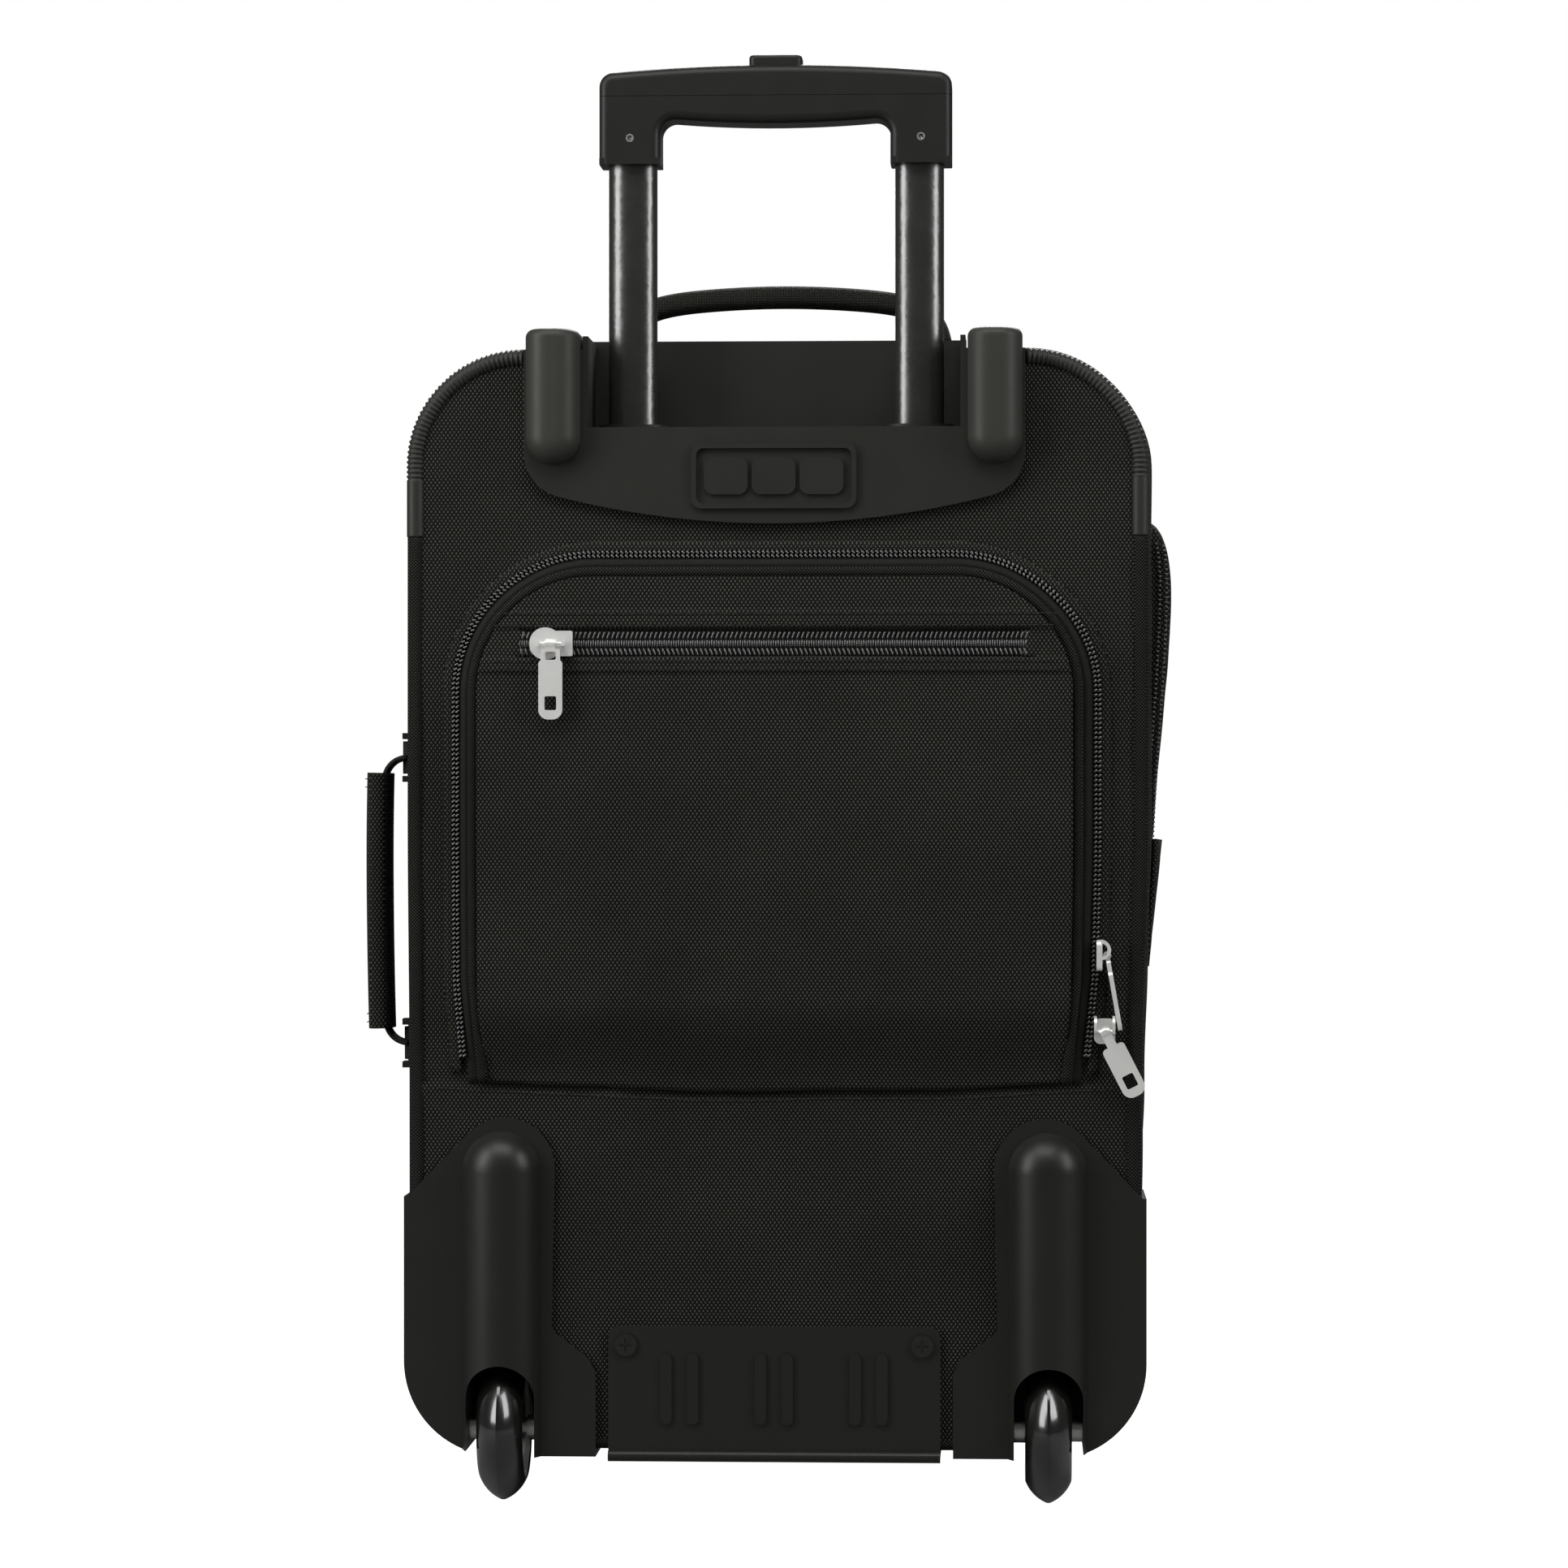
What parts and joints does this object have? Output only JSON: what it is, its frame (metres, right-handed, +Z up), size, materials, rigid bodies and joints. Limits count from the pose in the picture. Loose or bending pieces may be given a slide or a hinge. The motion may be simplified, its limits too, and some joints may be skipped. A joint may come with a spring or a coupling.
{
  "type": "softside upright suitcase",
  "caption": "Upright softside suitcase with wheels, telescoping pull handle, zipped lid, zipped back flap with a pocket, front pockets and carry handles.",
  "frame": {"origin": "centre of the footprint, on the floor under the case", "axes": "+Z up, -Y out of the back that carries the pull handle, +X to the right when looking at the back"},
  "size_m": [0.3959, 0.238, 0.692],
  "materials": {
    "shell_fabric": "coarse matt black nylon weave",
    "piping_fabric": "black woven binding over a cord",
    "webbing": "braided black webbing",
    "zipper_coil": "satin black tape with nylon coil",
    "housing_plastic": "fine-grained black plastic",
    "bumper_rubber": "soft grey-black rubber",
    "wheel_housing_plastic": "smooth black plastic with a low sheen",
    "handle_plastic": "satin black plastic",
    "tube_black": "glossy black coating",
    "tube_aluminium": "plain extruded aluminium",
    "steel": "plain steel",
    "board_plastic": "thin black board",
    "tyre_rubber": "smooth black polyurethane",
    "hub_plastic": "pale grey plastic",
    "zipper_metal": "satin nickel"
  },
  "bodies": {
    "case": {"back_panel": "shell_fabric", "tub_gusset": "shell_fabric", "frame_hoop": "steel", "back_board": "board_plastic", "top_housing": "housing_plastic", "top_bumpers": "bumper_rubber", "guide_tubes": "tube_aluminium", "guide_collars": "housing_plastic", "tube_foot_bracket": "housing_plastic", "wheel_housing_left": "wheel_housing_plastic", "wheel_housing_right": "wheel_housing_plastic", "wheel_axles": "steel", "skid_plate": "wheel_housing_plastic", "skid_plate_screws": "steel", "front_feet": "wheel_housing_plastic", "corner_guards": "bumper_rubber", "rear_piping": "piping_fabric", "main_zipper_tub_half": "zipper_coil", "arch_zipper_outer_half": "zipper_coil", "side_pocket": "shell_fabric", "handle_anchors": "steel", "tie_straps": "webbing"},
    "pull_handle": {"grip_upper_shell": "handle_plastic", "grip_lower_shell": "handle_plastic", "stage_tubes": "tube_black", "grip_rivets": "steel", "lock_blocks": "handle_plastic"},
    "release": {"release_button": "handle_plastic", "release_fork": "steel"},
    "lock_pin_l": {"lock_pin_left": "steel"},
    "lock_pin_r": {"lock_pin_right": "steel"},
    "wheel_l": {"tyre_left": "tyre_rubber", "hub_left": "hub_plastic", "bearings_left": "steel"},
    "wheel_r": {"tyre_right": "tyre_rubber", "hub_right": "hub_plastic", "bearings_right": "steel"},
    "lid": {"lid_panel": "shell_fabric", "lid_piping": "piping_fabric", "main_zipper_lid_half": "zipper_coil", "front_pocket_upper": "shell_fabric", "front_pocket_lower": "shell_fabric"},
    "flap": {"arch_flap": "shell_fabric", "arch_zipper_inner_half": "zipper_coil", "pocket_zipper": "zipper_coil"},
    "top_carry": {"top_carry_handle": "webbing"},
    "side_carry": {"side_carry_handle": "webbing"},
    "back_pocket_runner": {"back_pocket_slider": "zipper_metal"},
    "back_pocket_tab": {"back_pocket_pull": "zipper_metal"},
    "arch_upper_runner": {"arch_upper_slider": "zipper_metal"},
    "arch_upper_tab": {"arch_upper_pull": "zipper_metal"},
    "arch_lower_runner": {"arch_lower_slider": "zipper_metal"},
    "arch_lower_tab": {"arch_lower_pull": "zipper_metal"},
    "main_upper_runner": {"main_upper_slider": "zipper_metal"},
    "main_upper_tab": {"main_upper_pull": "zipper_metal"},
    "main_lower_runner": {"main_lower_slider": "zipper_metal"},
    "main_lower_tab": {"main_lower_pull": "zipper_metal"},
    "front_upper_runner": {"front_upper_slider": "zipper_metal"},
    "front_lower_runner": {"front_lower_slider": "zipper_metal"},
    "side_pocket_runner": {"side_pocket_slider": "zipper_metal"}
  },
  "joints": [
    {"name": "handle_slide", "type": "slide", "parent": "case", "child": "pull_handle", "axis": [0, 0, 1], "range_m": [-0.123, 0.255]},
    {"name": "button_press", "type": "slide", "parent": "pull_handle", "child": "release", "axis": [0, 0, -1], "range_m": [0, 0.004], "stiffness_N_per_m": 800, "springref_m": -0.006},
    {"name": "lock_pin_l_slide", "type": "slide", "parent": "pull_handle", "child": "lock_pin_l", "axis": [-1, 0, 0], "range_m": [0, 0.003]},
    {"name": "lock_pin_r_slide", "type": "slide", "parent": "pull_handle", "child": "lock_pin_r", "axis": [1, 0, 0], "range_m": [0, 0.003]},
    {"name": "wheel_l_spin", "type": "hinge", "parent": "case", "child": "wheel_l", "pos_m": [-0.1303, -0.082, 0.035], "axis": [1, 0, 0], "continuous": true},
    {"name": "wheel_r_spin", "type": "hinge", "parent": "case", "child": "wheel_r", "pos_m": [0.1303, -0.082, 0.035], "axis": [1, 0, 0], "continuous": true},
    {"name": "lid_hinge", "type": "hinge", "parent": "case", "child": "lid", "pos_m": [0.1765, 0.035, 0.28], "axis": [0, 0, -1], "range_deg": [0, 110]},
    {"name": "flap_hinge", "type": "hinge", "parent": "case", "child": "flap", "pos_m": [0, -0.0972, 0.1995], "axis": [1, 0, 0], "range_deg": [0, 75]},
    {"name": "top_carry_swing", "type": "hinge", "parent": "case", "child": "top_carry", "pos_m": [0, 0, 0.5567], "axis": [1, 0, 0], "range_deg": [-40, 40], "stiffness_Nm_per_rad": 0.05},
    {"name": "side_carry_swing", "type": "hinge", "parent": "case", "child": "side_carry", "pos_m": [-0.1812, -0.03, 0.286], "axis": [0, 0, 1], "range_deg": [-40, 40], "stiffness_Nm_per_rad": 0.05},
    {"name": "back_pocket_slide", "type": "slide", "parent": "flap", "child": "back_pocket_runner", "axis": [1, 0, 0], "range_m": [0, 0.209]},
    {"name": "back_pocket_swing", "type": "hinge", "parent": "back_pocket_runner", "child": "back_pocket_tab", "pos_m": [-0.105, -0.1159, 0.4095], "axis": [-1, 0, 0], "range_deg": [-3, 110]},
    {"name": "arch_upper_slide", "type": "slide", "parent": "case", "child": "arch_upper_runner", "axis": [0, 0, 1], "range_m": [0, 0.11]},
    {"name": "arch_upper_swing", "type": "hinge", "parent": "arch_upper_runner", "child": "arch_upper_tab", "pos_m": [0.1579, -0.105, 0.262], "axis": [0, -1, 0], "range_deg": [0, 90]},
    {"name": "arch_lower_slide", "type": "slide", "parent": "case", "child": "arch_lower_runner", "axis": [0, 0, -1], "range_m": [0, 0.006]},
    {"name": "arch_lower_swing", "type": "hinge", "parent": "arch_lower_runner", "child": "arch_lower_tab", "pos_m": [0.1568, -0.1042, 0.226], "axis": [-1, 0, 0], "range_deg": [0, 80]},
    {"name": "main_upper_slide", "type": "slide", "parent": "case", "child": "main_upper_runner", "axis": [0, 0, 1], "range_m": [0, 0.12]},
    {"name": "main_upper_swing", "type": "hinge", "parent": "main_upper_runner", "child": "main_upper_tab", "pos_m": [-0.1807, 0.035, 0.322], "axis": [0, 1, 0], "range_deg": [0, 100]},
    {"name": "main_lower_slide", "type": "slide", "parent": "case", "child": "main_lower_runner", "axis": [0, 0, -1], "range_m": [0, 0.12]},
    {"name": "main_lower_swing", "type": "hinge", "parent": "main_lower_runner", "child": "main_lower_tab", "pos_m": [-0.1807, 0.035, 0.262], "axis": [0, 1, 0], "range_deg": [0, 100]},
    {"name": "front_upper_slide", "type": "slide", "parent": "lid", "child": "front_upper_runner", "axis": [1, 0, 0], "range_m": [0, 0.2]},
    {"name": "front_lower_slide", "type": "slide", "parent": "lid", "child": "front_lower_runner", "axis": [1, 0, 0], "range_m": [0, 0.2]},
    {"name": "side_pocket_slide", "type": "slide", "parent": "case", "child": "side_pocket_runner", "axis": [0, 0, -1], "range_m": [0, 0.045]}
  ],
  "couplings": [
    {"joint": "lock_pin_l_slide", "follows": "button_press", "ratio": 0.75},
    {"joint": "lock_pin_r_slide", "follows": "button_press", "ratio": 0.75}
  ]
}
